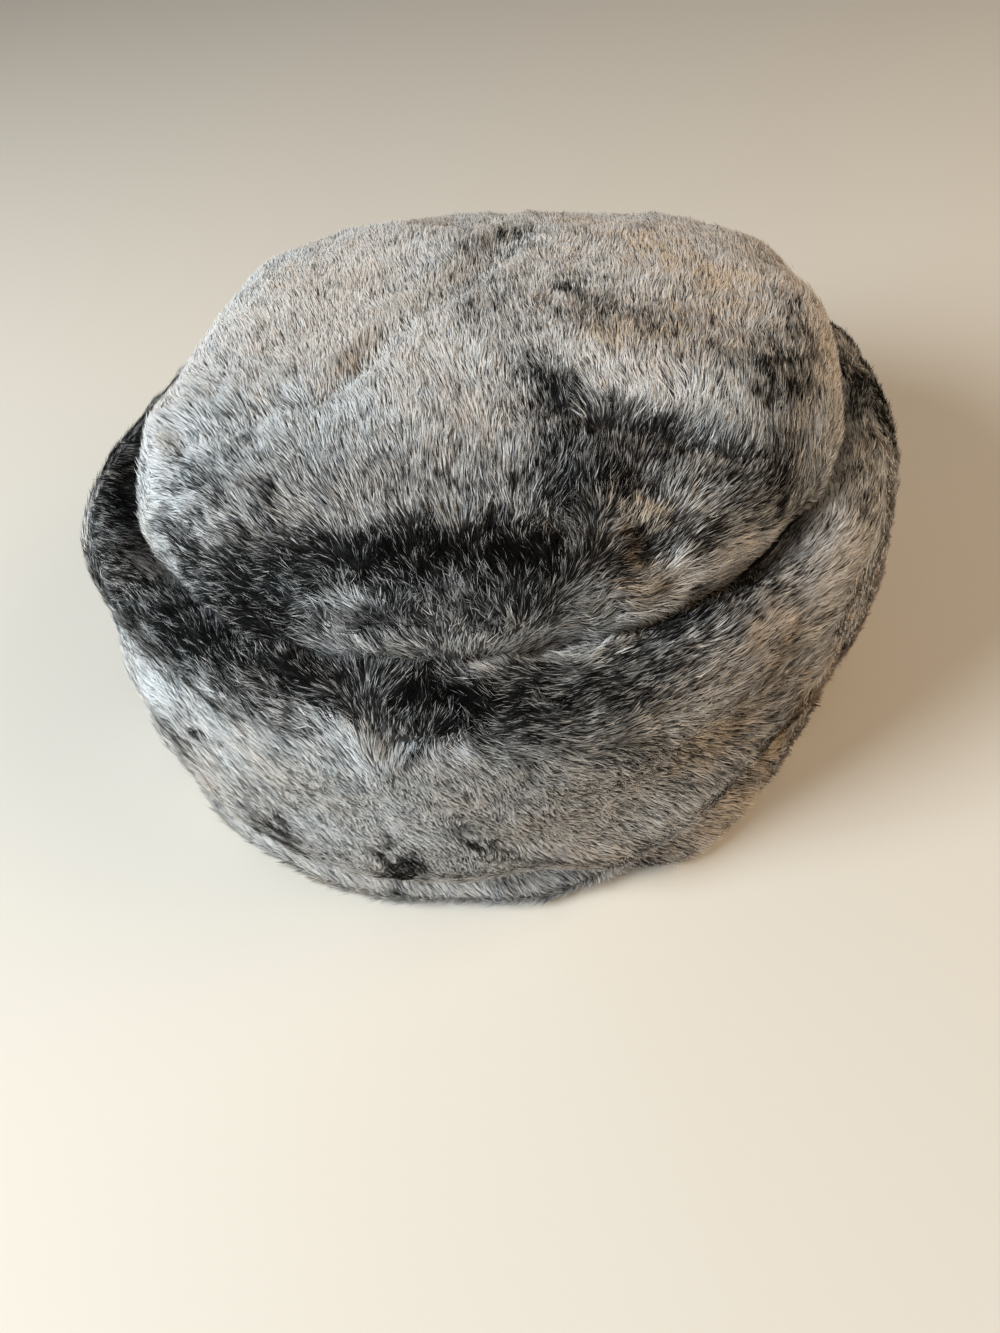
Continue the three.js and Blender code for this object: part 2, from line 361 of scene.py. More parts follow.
# How warm the pile is, from 0 for bluish to 1 for brown
TINT_ROWS = (
    ("crown_lower_left", "crown", 250, 460, -20, 130, 70, 0.15),
    ("crown_upper_left", "crown", 330, 300, -25, 130, 50, 0.64),
    ("crown_upper_right", "crown", 660, 290, 0, 150, 90, 0.80),
    ("front_dark", "crown", 400, 590, 0, 230, 60, 0.20),
    ("right_front", "crown", 735, 490, 0, 60, 45, 0.15),
    ("cream_tuft", "crown", 643, 524, 30, 27, 20, 1.10),
    # The painted shadow between the cream tufts, warmed brown
    ("brown_hollow", "crown", 638, 553, 0, 26, 16, 1.10),
    ("cream_tuft_low", "crown", 634, 592, -25, 44, 18, 1.05),
    ("band_dark", "side_band", 300, 660, 10, 250, 60, 0.20),
    ("parting_ridge", "side_band", 378, 765, 45, 60, 30, 0.25),
    # Brown pile, warmed further with painted warm light on the band's right
    ("band_right", "side_band", 800, 700, -50, 170, 90, 0.92),
    ("band_right_cool", "side_band", 650, 645, -30, 110, 30, 0.15),
    ("right_strip", "side_band", 740, 795, -45, 90, 20, 0.70),
)

# The tone and tint outside the ovals
BASE_TONE = {"crown": 0.915, "side_band": 0.95}
BASE_TINT = 0.45

# Which way the hairs point in the photo, clockwise from the right
COMB_COLUMNS = ("name", "on", "x", "y", "reach", "angle")
COMB_ROWS = (
    ("left_edge", "crown", 165, 470, 50, 195),
    ("left", "crown", 230, 420, 70, 228),
    ("left_low", "crown", 260, 520, 60, 222),
    ("middle", "crown", 420, 400, 120, 258),
    ("middle_low", "crown", 400, 520, 60, 245),
    ("front_left", "crown", 290, 600, 50, 205),
    ("front", "crown", 350, 610, 30, 245),
    ("front_seam", "crown", 410, 635, 30, 232),
    ("front_swirl", "crown", 455, 610, 22, 318),
    ("front_seam_middle", "crown", 465, 650, 20, 262),
    ("front_seam_right", "crown", 530, 650, 28, 338),
    ("seam_strip", "crown", 600, 622, 36, 335),
    ("front_middle", "crown", 500, 570, 50, 262),
    ("right", "crown", 650, 360, 120, 270),
    ("lobe_edge", "crown", 600, 480, 50, 295),
    ("right_low", "crown", 700, 500, 50, 318),
    ("right_front", "crown", 720, 550, 40, 338),
    ("pinch", "crown", 620, 600, 40, 350),
    ("far_right", "crown", 810, 400, 60, 265),
    ("left_back", "side_band", 115, 470, 60, 182),
    ("left", "side_band", 125, 560, 40, 190),
    ("left_corner", "side_band", 155, 625, 40, 238),
    ("left_low", "side_band", 200, 690, 50, 232),
    ("left_front", "side_band", 310, 710, 45, 214),
    ("ridge_left", "side_band", 350, 750, 30, 238),
    ("ridge_right", "side_band", 388, 742, 20, 286),
    ("dark_left", "side_band", 400, 705, 26, 325),
    ("dark", "side_band", 435, 735, 26, 312),
    ("dimple_right", "side_band", 395, 760, 16, 296),
    ("dark_right", "side_band", 480, 690, 40, 220),
    ("right_of_dark", "side_band", 540, 720, 45, 184),
    ("right_up", "side_band", 650, 665, 60, 152),
    ("right_side", "side_band", 770, 590, 70, 144),
    ("far_right", "side_band", 870, 440, 60, 92),
    ("lower_right", "side_band", 670, 790, 60, 193),
    ("middle", "side_band", 500, 780, 50, 226),
    ("lower_middle", "side_band", 420, 830, 60, 236),
    ("lower_left", "side_band", 270, 790, 70, 232),
)

# How far the pile's face stands out, in metres
FOLD_ROWS = (
    ("front_fill", "crown", 430, 655, 0, 150, 13, 0.0025),
    ("right_fill", "crown", 625, 620, -28, 75, 13, 0.0025),
    ("lobe", "crown", 680, 315, 8, 150, 78, 0.0030),
    ("lobe_edge", "crown", 645, 430, 16, 110, 14, -0.0028),
    ("furrow_left", "crown", 240, 415, -17, 95, 13, -0.0028),
    ("furrow_middle", "crown", 363, 355, -42, 60, 13, -0.0030),
    ("furrow_right", "crown", 465, 277, -34, 75, 13, -0.0028),
    ("front_tufts", "crown", 430, 618, 3, 130, 14, 0.0015),
    ("front_left_fill", "crown", 270, 641, 33, 60, 10, 0.0022),
    ("pinch", "crown", 648, 556, 0, 20, 12, -0.0035),
    ("cream_tuft", "crown", 645, 520, 30, 20, 12, 0.0020),
    ("cream_tuft_low", "crown", 640, 590, -25, 34, 13, 0.0020),
    ("left_rim", "crown", 160, 470, 90, 80, 12, 0.0018),
    ("left_streak", "crown", 185, 532, 54, 40, 9, -0.0020),
    ("right_rim", "crown", 820, 450, 100, 70, 10, 0.0015),
    ("front_fill", "side_band", 430, 665, 0, 150, 13, 0.0020),
    ("right_fill", "side_band", 625, 632, -28, 75, 13, 0.0025),
    ("front_left_fill", "side_band", 272, 650, 33, 66, 14, 0.0032),
    ("parting_ridge", "side_band", 368, 752, 46, 42, 15, 0.0022),
    ("dimple", "side_band", 405, 750, 10, 15, 10, -0.0022),
    ("right_fold", "side_band", 728, 735, -38, 130, 20, -0.0022),
    ("right_strip", "side_band", 742, 778, -42, 120, 24, 0.0030),
    ("lip", "side_band", 575, 856, -3, 75, 9, 0.0030),
    ("lip_foot", "side_band", 585, 880, -5, 80, 9, -0.0025),
)

# How untidy the pile is, from 0 to 1
MESS_ROWS = (
    ("front", "crown", 410, 600, 2, 230, 55, 0.8),
    ("front_right", "crown", 570, 545, 0, 70, 60, 0.7),
    ("lobe_edge", "crown", 640, 400, 10, 90, 40, 0.4),
    ("band_dark", "side_band", 450, 695, -3, 130, 45, 0.6),
    ("band_left", "side_band", 230, 660, 30, 130, 45, 0.5),
)


def table(columns, rows):
    return [dict(zip(columns, row)) for row in rows]


FIELDS = {row["name"]: row for row in table(FIELD_COLUMNS, FIELD_ROWS)}
PATCHES = table(PATCH_COLUMNS, PATCH_ROWS)
TINT_PATCHES = table(PATCH_COLUMNS, TINT_ROWS)
COMBS = table(COMB_COLUMNS, COMB_ROWS)
MESSES = table(PATCH_COLUMNS, MESS_ROWS)
FOLDS = table(PATCH_COLUMNS, FOLD_ROWS)


def bell(t):
    return np.exp(-t * t)


def fade(t):
    t = np.clip(t, 0, 1)
    return t * t * (3 - 2 * t)


def unit(vectors):
    return vectors / np.maximum(np.linalg.norm(vectors, axis=-1, keepdims=True), TINY)


def dot(a, b):
    return np.sum(a * b, axis=-1, keepdims=True)


def turn_between(a, b):
    return (a - b + 180) % 360 - 180


# The form


def swollen(swell, azimuth, height):
    """How far a swell moves a place out."""
    around = bell(turn_between(azimuth, swell["azimuth"]) / swell["span"])
    return swell["out"] * around * bell((height - swell["height"]) / swell["reach"])


def outward_shift(azimuth, radius, height):
    """How far a point of the round form moves out, by the oval plan and the swells."""
    shift = radius * OVAL["share"] * np.cos(np.radians(2 * (azimuth - OVAL["azimuth"])))
    inner = np.minimum(1, radius / SEAM_RADIUS)
    for swell in SWELLS:
        shift = shift + swollen(swell, azimuth, height) * inner
    return shift


def along_and_across(x, y, place):
    """How far a point lies from a place, along the place's own turned axis and across it."""
    cosine, sine = np.cos(np.radians(place["turn"])), np.sin(np.radians(place["turn"]))
    along = (x - place["x"]) * cosine + (y - place["y"]) * sine
    across = (y - place["y"]) * cosine - (x - place["x"]) * sine
    return along, across


def sink_at(x, y, height):
    """How far the crown sinks at a place of its plan."""
    sink = 0
    for dent in DENTS:
        along, across = along_and_across(x, y, dent)
        sink = sink + dent["depth"] * bell(along / dent["length"]) * bell(across / dent["width"])
    return sink * fade((height - DENT_FADE["from"]) / (DENT_FADE["to"] - DENT_FADE["from"]))


def soften(azimuth, radius, height):
    """The soft hat's points for points of the round form."""
    out = radius + outward_shift(azimuth, radius, height)
    x = out * np.cos(np.radians(azimuth))
    y = out * np.sin(np.radians(azimuth))
    lean = np.minimum(1, height / SEAM_HEIGHT)
    z = height - sink_at(x, y, height)
    return np.stack([x + LEAN["x"] * lean + AXIS["x"], y + LEAN["y"] * lean + AXIS["y"], z], axis=-1)


def profile(sections, steps):
    """Radius and height at even steps along a smooth curve through the sections."""
    points = np.array([(s["radius"], s["height"]) for s in sections], float)
    ends = np.vstack([points[:1], points, points[-1:]])
    t = np.linspace(0, 1, CURVE_STEPS, endpoint=False)[:, None]
    curve = []
    for before, start, end, after in zip(ends, ends[1:], ends[2:], ends[3:]):
        leave, arrive = (end - before) / 2, (after - start) / 2
        cubic = (2 * start - 2 * end + leave + arrive) * t**3
        curve.append(cubic + (3 * end - 3 * start - 2 * leave - arrive) * t**2 + leave * t + start)
    curve = np.vstack([*curve, points[-1:]])
    way = np.append(0, np.cumsum(np.linalg.norm(np.diff(curve, axis=0), axis=1)))
    even = np.linspace(0, way[-1], steps + 1)
    return np.stack([np.interp(even, way, curve[:, 0]), np.interp(even, way, curve[:, 1])], axis=-1)


def make_form(name, sections, inside, raised):
    fine = profile(sections, PROFILE_STEPS)
    shares = np.linspace(0, 1, len(fine))
    length = np.linalg.norm(np.diff(fine, axis=0), axis=1).sum()
    return {
        "name": name,
        "fine": fine,
        "shares": shares,
        "length": length,
        "inside": inside,
        "raised": raised,
    }


CROWN = make_form("crown", CROWN_SECTIONS, CROWN_INSIDE, SEAM_GAP)
BAND = make_form("side_band", BAND_SECTIONS, BAND_INSIDE, 0)


def on_form(form, azimuth, share):
    """Points of a form's outer face, with its folds. share runs from 0 to 1 along its profile."""
    radius = np.interp(share, form["shares"], form["fine"][:, 0])
    height = np.interp(share, form["shares"], form["fine"][:, 1])
    points = soften(azimuth, radius, height) + (0, 0, form["raised"])
    seen = 1
    if form is BAND:
        seen = fade((FOLDS_END["at"] - np.sin(np.radians(azimuth))) / FOLDS_END["over"])
    fold = seen * patched(form, *in_photo(points), FOLDS, 0.0) + lumps(points, "wave")
    for swell in PILE_SWELLS if form is BAND else ():
        fold = fold + swollen(swell, azimuth, height)
    return points + form_normals(form, azimuth, share) * fold[..., None]


def form_normals(form, azimuth, share):
    """Which way the form faces, without its folds."""
    slope = np.gradient(form["fine"], axis=0)
    out = np.interp(share, form["shares"], slope[:, 1])
    up = -np.interp(share, form["shares"], slope[:, 0])
    turn = np.radians(azimuth)
    return unit(np.stack([out * np.cos(turn), out * np.sin(turn), up], axis=-1))


def tangents(form, azimuth, share):
    """How a point moves for a degree round, and for the whole share up."""
    turn, step = TANGENT_STEP["turn"], TANGENT_STEP["share"]
    around = (on_form(form, azimuth + turn, share) - on_form(form, azimuth - turn, share)) / (2 * turn)
    high, low = np.minimum(share + step, 1), np.maximum(share - step, 0)
    up = (on_form(form, azimuth, high) - on_form(form, azimuth, low)) / (high - low)[..., None]
    return around, up


def lumps(points, name):
    """A smooth random field over points, about 0, that varies by about its weight."""
    field, side = FIELDS[name], LATTICE["side"]
    lattice = np.random.default_rng(field["seed"]).random((side, side, side))
    place = np.reshape(points, (-1, 3)) / field["size"] + LATTICE["shift"]
    cell = np.floor(place).astype(int)
    t = fade(place - cell)
    total = 0
    for i in (0, 1):
        for j in (0, 1):
            for k in (0, 1):
                corner = np.where([i, j, k], t, 1 - t).prod(axis=1)
                x, y, z = ((cell + (i, j, k)) % side).T
                total = total + corner * lattice[x, y, z]
    return field["weight"] * ((total - 0.5) / LATTICE["spread"]).reshape(np.shape(points)[:-1])


# The camera, and what the charts say of a place

EYE = np.array([CAMERA["x"], CAMERA["y"], CAMERA["z"]])
LOOKS_DOWN = Euler((np.radians(90 - CAMERA["down"]), 0, 0)).to_matrix()
ROLLS = Euler((0, 0, np.radians(CAMERA["roll"]))).to_matrix()
CAMERA_TURN = LOOKS_DOWN @ ROLLS
RIGHT, UP = np.array(CAMERA_TURN.col[0]), np.array(CAMERA_TURN.col[1])
FOCAL = CAMERA["lens"] / CAMERA["sensor"] * PHOTO["height"]


def in_photo(points):
    """Where points show in the photo, in its pixels."""
    local = (points - EYE) @ np.array(CAMERA_TURN)
    x = PHOTO["width"] / 2 - FOCAL * local[..., 0] / local[..., 2]
    y = PHOTO["height"] / 2 + FOCAL * local[..., 1] / local[..., 2]
    return x, y


def ragged(points):
    """Where points show in the photo, moved about a little so that a patch's edge is ragged."""
    x, y = in_photo(points)
    x = x + lumps(points, "ragged_x") + lumps(points, "ragged_x_fine")
    y = y + lumps(points, "ragged_y") + lumps(points, "ragged_y_fine")
    return x, y


def patched(form, x, y, patches, base):
    """The patches' values over the base value, at places of the photo."""
    value = np.full(x.shape, base)
    for patch in patches:
        if patch["on"] != form["name"]:
            continue
        along, across = along_and_across(x, y, patch)
        away = (along / patch["long"]) ** 2 + (across / patch["wide"]) ** 2
        value = value + (patch["value"] - value) * np.exp(-(away**PATCH_SQUARENESS))
    return value


def charted(form, points, patches, base):
    """The patches' values over the base value, with ragged edges."""
    return patched(form, *ragged(points), patches, base)


def charted_tone(form, azimuth, points):
    """How light the pile is. What the photo hides goes on as mottled as what it shows."""
    tone = charted(form, points, PATCHES, BASE_TONE[form["name"]])
    hidden = 0
    if form is BAND:
        hidden = fade((np.sin(np.radians(azimuth)) - MOTTLE_BEGINS["at"]) / MOTTLE_BEGINS["over"])
    rough = lumps(points, "rough") + lumps(points, "rough_fine")
    streak = bell((points[:, 2] - SEAM_HEIGHT + STREAK["wander"] * rough) / STREAK["reach"])
    streak = streak * fade(STREAK["level"] + lumps(points, "streak") + STREAK["rough"] * rough)
    clouds = fade(lumps(points, "clouds") + CLOUDS["rough"] * rough - CLOUDS["level"])
    dark = np.minimum(MOST_DARK, STREAK["dark"] * streak + CLOUDS["dark"] * clouds)
    return tone * (1 - hidden * dark)


def nap(form, normals, around, up):
    """The way the cloth's own nap lies."""
    lies = CROWN_NAP if form is CROWN else unit(up) * BAND_NAP["up"] - unit(around) * BAND_NAP["back"]
    return unit(lies - normals * dot(lies, normals))


def combed(form, points, normals, around, up, lay):
    """The way the pile lies: as charted where the photo shows it, and by the cloth's nap elsewhere.

    lay is 1 for a lock that lies as charted, and -1 for one that lies the other way."""
    x, y = in_photo(points)
    across, down, total = 0, 0, 0
    for comb in COMBS:
        if comb["on"] != form["name"]:
            continue
        share = np.exp(-((x - comb["x"]) ** 2 + (y - comb["y"]) ** 2) / comb["reach"] ** 2)
        across = across + share * np.cos(np.radians(comb["angle"]))
        down = down + share * np.sin(np.radians(comb["angle"]))
        total = total + share
    view = unit(EYE - points)
    facing = dot(view, normals)
    drawn = (across[:, None] * RIGHT - down[:, None] * UP) * lay[:, None]
    drawn = unit(drawn - view * dot(drawn, normals) / np.maximum(facing, FACING["least"]))
    drawn = unit(drawn - normals * dot(drawn, normals))
    share = fade((facing - FACING["from"]) / FACING["over"]) * (total / (total + COMB_NEAR))[:, None]
    return unit(nap(form, normals, around, up) * (1 - share) + drawn * share)


def seam_nearness(form, azimuth, share):
    """1 at the seam and 0 away from it, and little at the front, where the pile covers the seam."""
    way = (share if form is CROWN else 1 - share) * form["length"]
    around = bell(turn_between(azimuth, SEAM_COVERED["azimuth"]) / SEAM_COVERED["span"])
    return (1 - fade(way / SEAM_PILE["reach"])) * (1 - SEAM_COVERED["share"] * around)


def pile_roots(form, azimuth, share, outer, normals):
    """Where the pile's roots lie under its outer face, and how near the seam they are."""
    near_seam = seam_nearness(form, azimuth, share)
    depth = PILE_DEPTH * (1 - SEAM_PILE["less_depth"] * near_seam)
    return outer - normals * depth[..., None], near_seam


# The pile's locks and hairs


def scatter(form, start, end, rng):
    """Places spread by area over a form between two azimuths: azimuth and share."""
    n_around, n_up = int((end - start) * SCATTER_STEPS["per_degree"]), SCATTER_STEPS["up"]
    azimuth = start + (np.arange(n_around) + 0.5) / n_around * (end - start)
    share = (np.arange(n_up) + 0.5) / n_up
    azimuths, shares = (a.ravel() for a in np.meshgrid(azimuth, share, indexing="ij"))
    around, up = tangents(form, azimuths, shares)
    areas = np.linalg.norm(np.cross(around, up), axis=-1) * (end - start) / n_around / n_up
    total = np.cumsum(areas)
    count = int(total[-1] * LOCKS_PER_M2)
    cell = np.searchsorted(total, (np.arange(count) + rng.random(count)) / count * total[-1])
    cell = np.minimum(cell, len(areas) - 1)
    azimuths = azimuths[cell] + (rng.random(count) - 0.5) * (end - start) / n_around
    shares = shares[cell] + (rng.random(count) - 0.5) / n_up
    return azimuths, shares


def sway(directions, normals, angles):
    """Directions in the cloth turned about its normals."""
    side = np.cross(normals, directions)
    return directions * np.cos(angles)[:, None] + side * np.sin(angles)[:, None]


def leaning(normals, comb, degrees):
    """Directions that rise from the way of the comb by an angle."""
    angles = np.radians(degrees)[:, None]
    return normals * np.sin(angles) + comb * np.cos(angles)


def make_locks(form, start, end, rng):
    """The locks of a stretch of a form: where each one grows, the way it lies and how it looks."""
    azimuth, share = scatter(form, start, end, rng)
    count = len(azimuth)
    outer = on_form(form, azimuth, share)
    around, up = tangents(form, azimuth, share)
    normals = unit(np.cross(around, up))
    roots, near_seam = pile_roots(form, azimuth, share, outer, normals)

    turned = fade((azimuth - TURNED["from"]) / TURNED["span"]) if form is BAND else 0
    lay = np.where(rng.random(count) < turned, -1, 1)
    comb = combed(form, outer, normals, around, up, lay)
    mess = charted(form, outer, MESSES, 0.0)
    swirl = lumps(outer, "swirl") + lumps(outer, "swirl_fine")
    swirl = swirl * (1 + SWIRL["messy"] * mess)
    swirl = swirl + rng.normal(0, 1, count) * (SWIRL["spread"] + SWIRL["messy_spread"] * mess)

    base = charted_tone(form, azimuth, outer)
    flecks = np.maximum(0, lumps(outer, "flecks") - FLECKS["over"])
    mixed = np.log(base / (1 - base)) + lumps(outer, "tone") - FLECKS["dark"] * flecks
    tone = 1 / (1 + np.exp(-mixed - rng.normal(0, TONE_SPREAD, count)))
    odds = np.minimum(SILVER["most"], SILVER["least"] + SILVER["rise"] * base) * (1 - base)
    silver = rng.random(count) < odds
    silver_tone = SILVER_TONE["least"] + SILVER_TONE["rise"] * np.minimum(1, base / SILVER_TONE["full_at"])
    silver_tone = silver_tone + SILVER_TONE["spread"] * rng.random(count)

    tint = charted(form, outer, TINT_PATCHES, BASE_TINT) + lumps(outer, "tint")
    tint = tint + lumps(outer, "tint_fine") + rng.normal(0, TINT_SPREAD, count)
    length = HAIR_LENGTH * (1 + lumps(outer, "length") + rng.normal(0, LENGTH_SPREAD, count))
    return {
        "roots": roots,
        "normals": normals,
        "comb": sway(comb, normals, swirl),
        "mess": mess,
        "tone": np.where(silver, np.maximum(tone, silver_tone), tone),
        "tint": tint,
        "length": length * (1 - SEAM_PILE["less_length"] * near_seam),
        "breadth": np.where(silver, SILVER["breadth"], 1.0),
        "bend": np.where(silver, 0.0, BEND["most"] * fade(base / BEND["full_at"])),
    }


def make_hairs(locks, rng):
    """The hairs of the locks. Each has four points: its root, the two sides of its bend and its tip."""
    hairs = {name: np.repeat(values, HAIRS_IN_LOCK, axis=0) for name, values in locks.items()}
    count, normals, mess = len(hairs["roots"]), hairs["normals"], hairs["mess"]

    def spread(name):
        return rng.normal(0, HAIR_SPREAD[name], count)

    comb = hairs["comb"]
    slide, drift = spread("slide"), spread("drift")
    roots = hairs["roots"] + comb * slide[:, None] + np.cross(normals, comb) * drift[:, None]
    turn = rng.normal(0, 1, count) * (HAIR_SPREAD["turn"] + HAIR_SPREAD["messy_turn"] * mess)
    comb = sway(comb, normals, turn)
    length = (hairs["length"] * (1 + spread("length")))[:, None]
    tone = np.clip(hairs["tone"] + spread("tone"), *TONE_LIMITS)
    low = rng.normal(LOWER_PART["angle"], LOWER_PART["spread"], count) + MESSY_LIFT * mess
    high = rng.normal(UPPER_PART["angle"], UPPER_PART["spread"], count) + MESSY_LIFT * mess
    bends = roots + leaning(normals, comb, low) * (LOWER_PART["share"] * length)
    tips = bends + leaning(normals, comb, high) * (UPPER_PART["share"] * length)

    twist = spread("twist")[:, None]
    width = (HAIR_WIDTH / 2 * hairs["breadth"] * (1 + spread("width")))[:, None]
    edge = (np.cross(normals, comb) * np.cos(twist) + normals * np.sin(twist)) * width
    points = np.stack([roots, bends + edge, bends - edge, tips], axis=1)
    points[..., 2] = np.maximum(points[..., 2], LOWEST_HAIR)
    soft = unit(normals - comb * NORMAL_LEAN)
    return {"points": points, "tone": tone, "tint": hairs["tint"], "bend": hairs["bend"], "soft": soft}


def hair_mesh(name, points):
    """One mesh of two triangles for each hair, and the triangles' vertex numbers."""
    first = POINTS_IN_HAIR * np.arange(len(points))[:, None]
    triangles = np.concatenate([first + (0, 2, 1), first + (1, 2, 3)])
    mesh = bpy.data.meshes.new(name)
    mesh.vertices.add(POINTS_IN_HAIR * len(points))
    mesh.vertices.foreach_set("co", points.astype(np.float32).ravel())
    mesh.loops.add(triangles.size)
    mesh.loops.foreach_set("vertex_index", triangles.astype(np.int32).ravel())
    mesh.polygons.add(len(triangles))
    mesh.polygons.foreach_set("loop_start", np.arange(0, triangles.size, 3, dtype=np.int32))
    mesh.update(calc_edges=True)
    return mesh, triangles


def write_shading(mesh, triangles, hairs):
    """What the pile's material reads, and the same as places on the bake map."""
    tint = np.clip((hairs["tint"] * TINTS).astype(int), 0, TINTS - 1)
    tones = hairs["tone"][:, None] + np.array([0, TONE_STEP, -TONE_STEP, 0])
    alongs = np.zeros(tones.shape)
    alongs[:, 1:3] = hairs["bend"][:, None]
    alongs[:, 3] = 1
    write_values(mesh, "tone", tones)
    write_values(mesh, "along", alongs)
    write_values(mesh, "tint", np.repeat((tint + 0.5) / TINTS, POINTS_IN_HAIR))
    across = (tint[:, None] + STRIP_EDGE + (1 - 2 * STRIP_EDGE) * alongs) / TINTS
    places = np.stack([across, tones], axis=-1).reshape(-1, 2)
    layer = mesh.uv_layers.new(name="OFBake")
    layer.data.foreach_set("uv", places[triangles.ravel()].astype(np.float32).ravel())


def make_pile(name, form, start, end, seed):
    rng = np.random.default_rng(seed)
    hairs = make_hairs(make_locks(form, start, end, rng), rng)
    mesh, triangles = hair_mesh(name, hairs["points"])
    write_shading(mesh, triangles, hairs)
    mesh.polygons.foreach_set("use_smooth", np.ones(len(triangles), bool))
    soft = np.repeat(hairs["soft"], POINTS_IN_HAIR, axis=0)
    mesh.normals_split_custom_set_from_vertices(soft.tolist())
    return place_object(name, mesh)


def write_values(mesh, name, values):
    layer = mesh.attributes.new(name, "FLOAT", "POINT")
    layer.data.foreach_set("value", np.asarray(values, np.float32).ravel())


def place_object(name, mesh):
    piece = bpy.data.objects.new(name, mesh)
    bpy.context.scene.collection.objects.link(piece)
    return piece


# The skins under the pile


def skin_rows(form, azimuth):
    """Rows of points round a skin, and the number of the row where the faces inside the hat begin."""
    share = np.linspace(0, 1, SKIN_STEPS["outside"] + 1)
    if form is CROWN:
        share = np.minimum(share, 1 - SHORT_OF_TOP)
    azimuths, shares = np.meshgrid(azimuth, share)
    normals = unit(np.cross(*tangents(form, azimuths, shares)))
    outer, _ = pile_roots(form, azimuths, shares, on_form(form, azimuths, shares), normals)
    inner = []
    for radius, height in profile(form["inside"], SKIN_STEPS["inside"]):
        ring = soften(azimuth, radius, np.full_like(azimuth, height))
        inner.append(ring + (0, 0, form["raised"]))
    if form is CROWN:
        rows, first_inside = [*reversed(inner), *outer], 0
    else:
        rows, first_inside = [*outer, *inner], len(outer) - 1
    rows = np.array(rows)
    rows[..., 2] = np.maximum(rows[..., 2], 0)
    return rows, first_inside


def ring_faces(n_rows, n, closed):
    """Faces between rows of n points, back to the first row where closed."""
    faces = []
    for i in range(n_rows if closed else n_rows - 1):
        below, above = i * n, (i + 1) % n_rows * n
        for j in range(n):
            k = (j + 1) % n
            faces.append((below + j, below + k, above + k, above + j))
    return faces


def make_skin(name, form):
    n = SKIN_STEPS["around"]
    azimuth = np.arange(n) * 360 / n
    rows, first_inside = skin_rows(form, azimuth)
    faces = ring_faces(len(rows), n, closed=form is BAND)
    mesh = bpy.data.meshes.new(name)
    mesh.from_pydata(rows.reshape(-1, 3).tolist(), [], faces)
    mesh.polygons.foreach_set("use_smooth", np.ones(len(faces), bool))
    write_values(mesh, "tone", charted_tone(form, np.tile(azimuth, len(rows)), rows.reshape(-1, 3)))
    last_inside = SKIN_STEPS["inside"] + 1 if form is CROWN else len(rows)
    inside = np.zeros(len(faces), np.int32)
    inside[first_inside * n : last_inside * n] = 1
    mesh.update()
    return place_object(name, mesh), inside


# Materials


def new_material(name):
    material = bpy.data.materials.new(name)
    material.use_nodes = True
    tree = material.node_tree
    return material, tree, tree.nodes["Principled BSDF"]


def attribute(tree, name):
    node = tree.nodes.new("ShaderNodeAttribute")
    node.attribute_name = name
    return node.outputs["Fac"]


def feed(tree, value, socket):
    """Links a node's output to a socket, or sets the socket to a constant."""
    if hasattr(value, "node"):
        tree.links.new(value, socket)
    else:
        socket.default_value = value


def speckle(tree, scale, stops):
    """Colours that change with a noise over the object."""
    where = tree.nodes.new("ShaderNodeTexCoord").outputs["Object"]
    noise = tree.nodes.new("ShaderNodeTexNoise")
    noise.inputs["Scale"].default_value = scale
    tree.links.new(where, noise.inputs["Vector"])
    return ramp(tree, noise.outputs["Fac"], stops)


def ramp(tree, factor, stops):
    node = tree.nodes.new("ShaderNodeValToRGB")
    elements = node.color_ramp.elements
    while len(elements) < len(stops):
        elements.new(RAMP_MIDDLE)
    for element, (position, colour) in zip(elements, stops):
        element.position = position
        element.color = (*colour, 1)
    tree.links.new(factor, node.inputs["Fac"])
    return node.outputs["Color"]


def greys(tree, factor, stops):
    return ramp(tree, factor, [(position, (grey, grey, grey)) for position, grey in stops])


def mix(tree, kind, factor, a, b):
    node = tree.nodes.new("ShaderNodeMix")
    node.data_type, node.blend_type = "RGBA", kind
    for number, value in ((MIX_FACTOR, factor), (MIX_A, a), (MIX_B, b)):
        feed(tree, value, node.inputs[number])
    return node.outputs[MIX_RESULT]


def maths(tree, operation, *values):
    node = tree.nodes.new("ShaderNodeMath")
    node.operation = operation
    for number, value in enumerate(values):
        feed(tree, value, node.inputs[number])
    return node.outputs[0]


def tip_share(tree, along, tone):
    """How far a place on a hair has the tip's colour, which begins nearer the root in light hairs."""
    begins = maths(tree, "MULTIPLY_ADD", tone, -TIP["begins"], TIP["begins"])
    ends = maths(tree, "ADD", begins, TIP["over"])
    node = tree.nodes.new("ShaderNodeMapRange")
    node.interpolation_type = "SMOOTHSTEP"
    tree.links.new(along, node.inputs["Value"])
    tree.links.new(begins, node.inputs["From Min"])
    tree.links.new(ends, node.inputs["From Max"])
    return node.outputs["Result"]


def pile_material():
    material, tree, shader = new_material("silver_tipped_pile")
    along, tone, tint = (attribute(tree, name) for name in ("along", "tone", "tint"))
    tip = mix(tree, "MULTIPLY", 1.0, greys(tree, tone, TIP_GREYS), ramp(tree, tint, TIP_TINTS))
    root = mix(tree, "MULTIPLY", 1.0, greys(tree, tone, ROOT_GREYS), ramp(tree, tint, ROOT_TINTS))
    colour = mix(tree, "MIX", tip_share(tree, along, tone), root, tip)
    tree.links.new(colour, shader.inputs["Base Color"])
    shader.inputs["Roughness"].default_value = PILE_LOOK["roughness"]
    shader.inputs["Specular IOR Level"].default_value = PILE_LOOK["specular"]
    return material


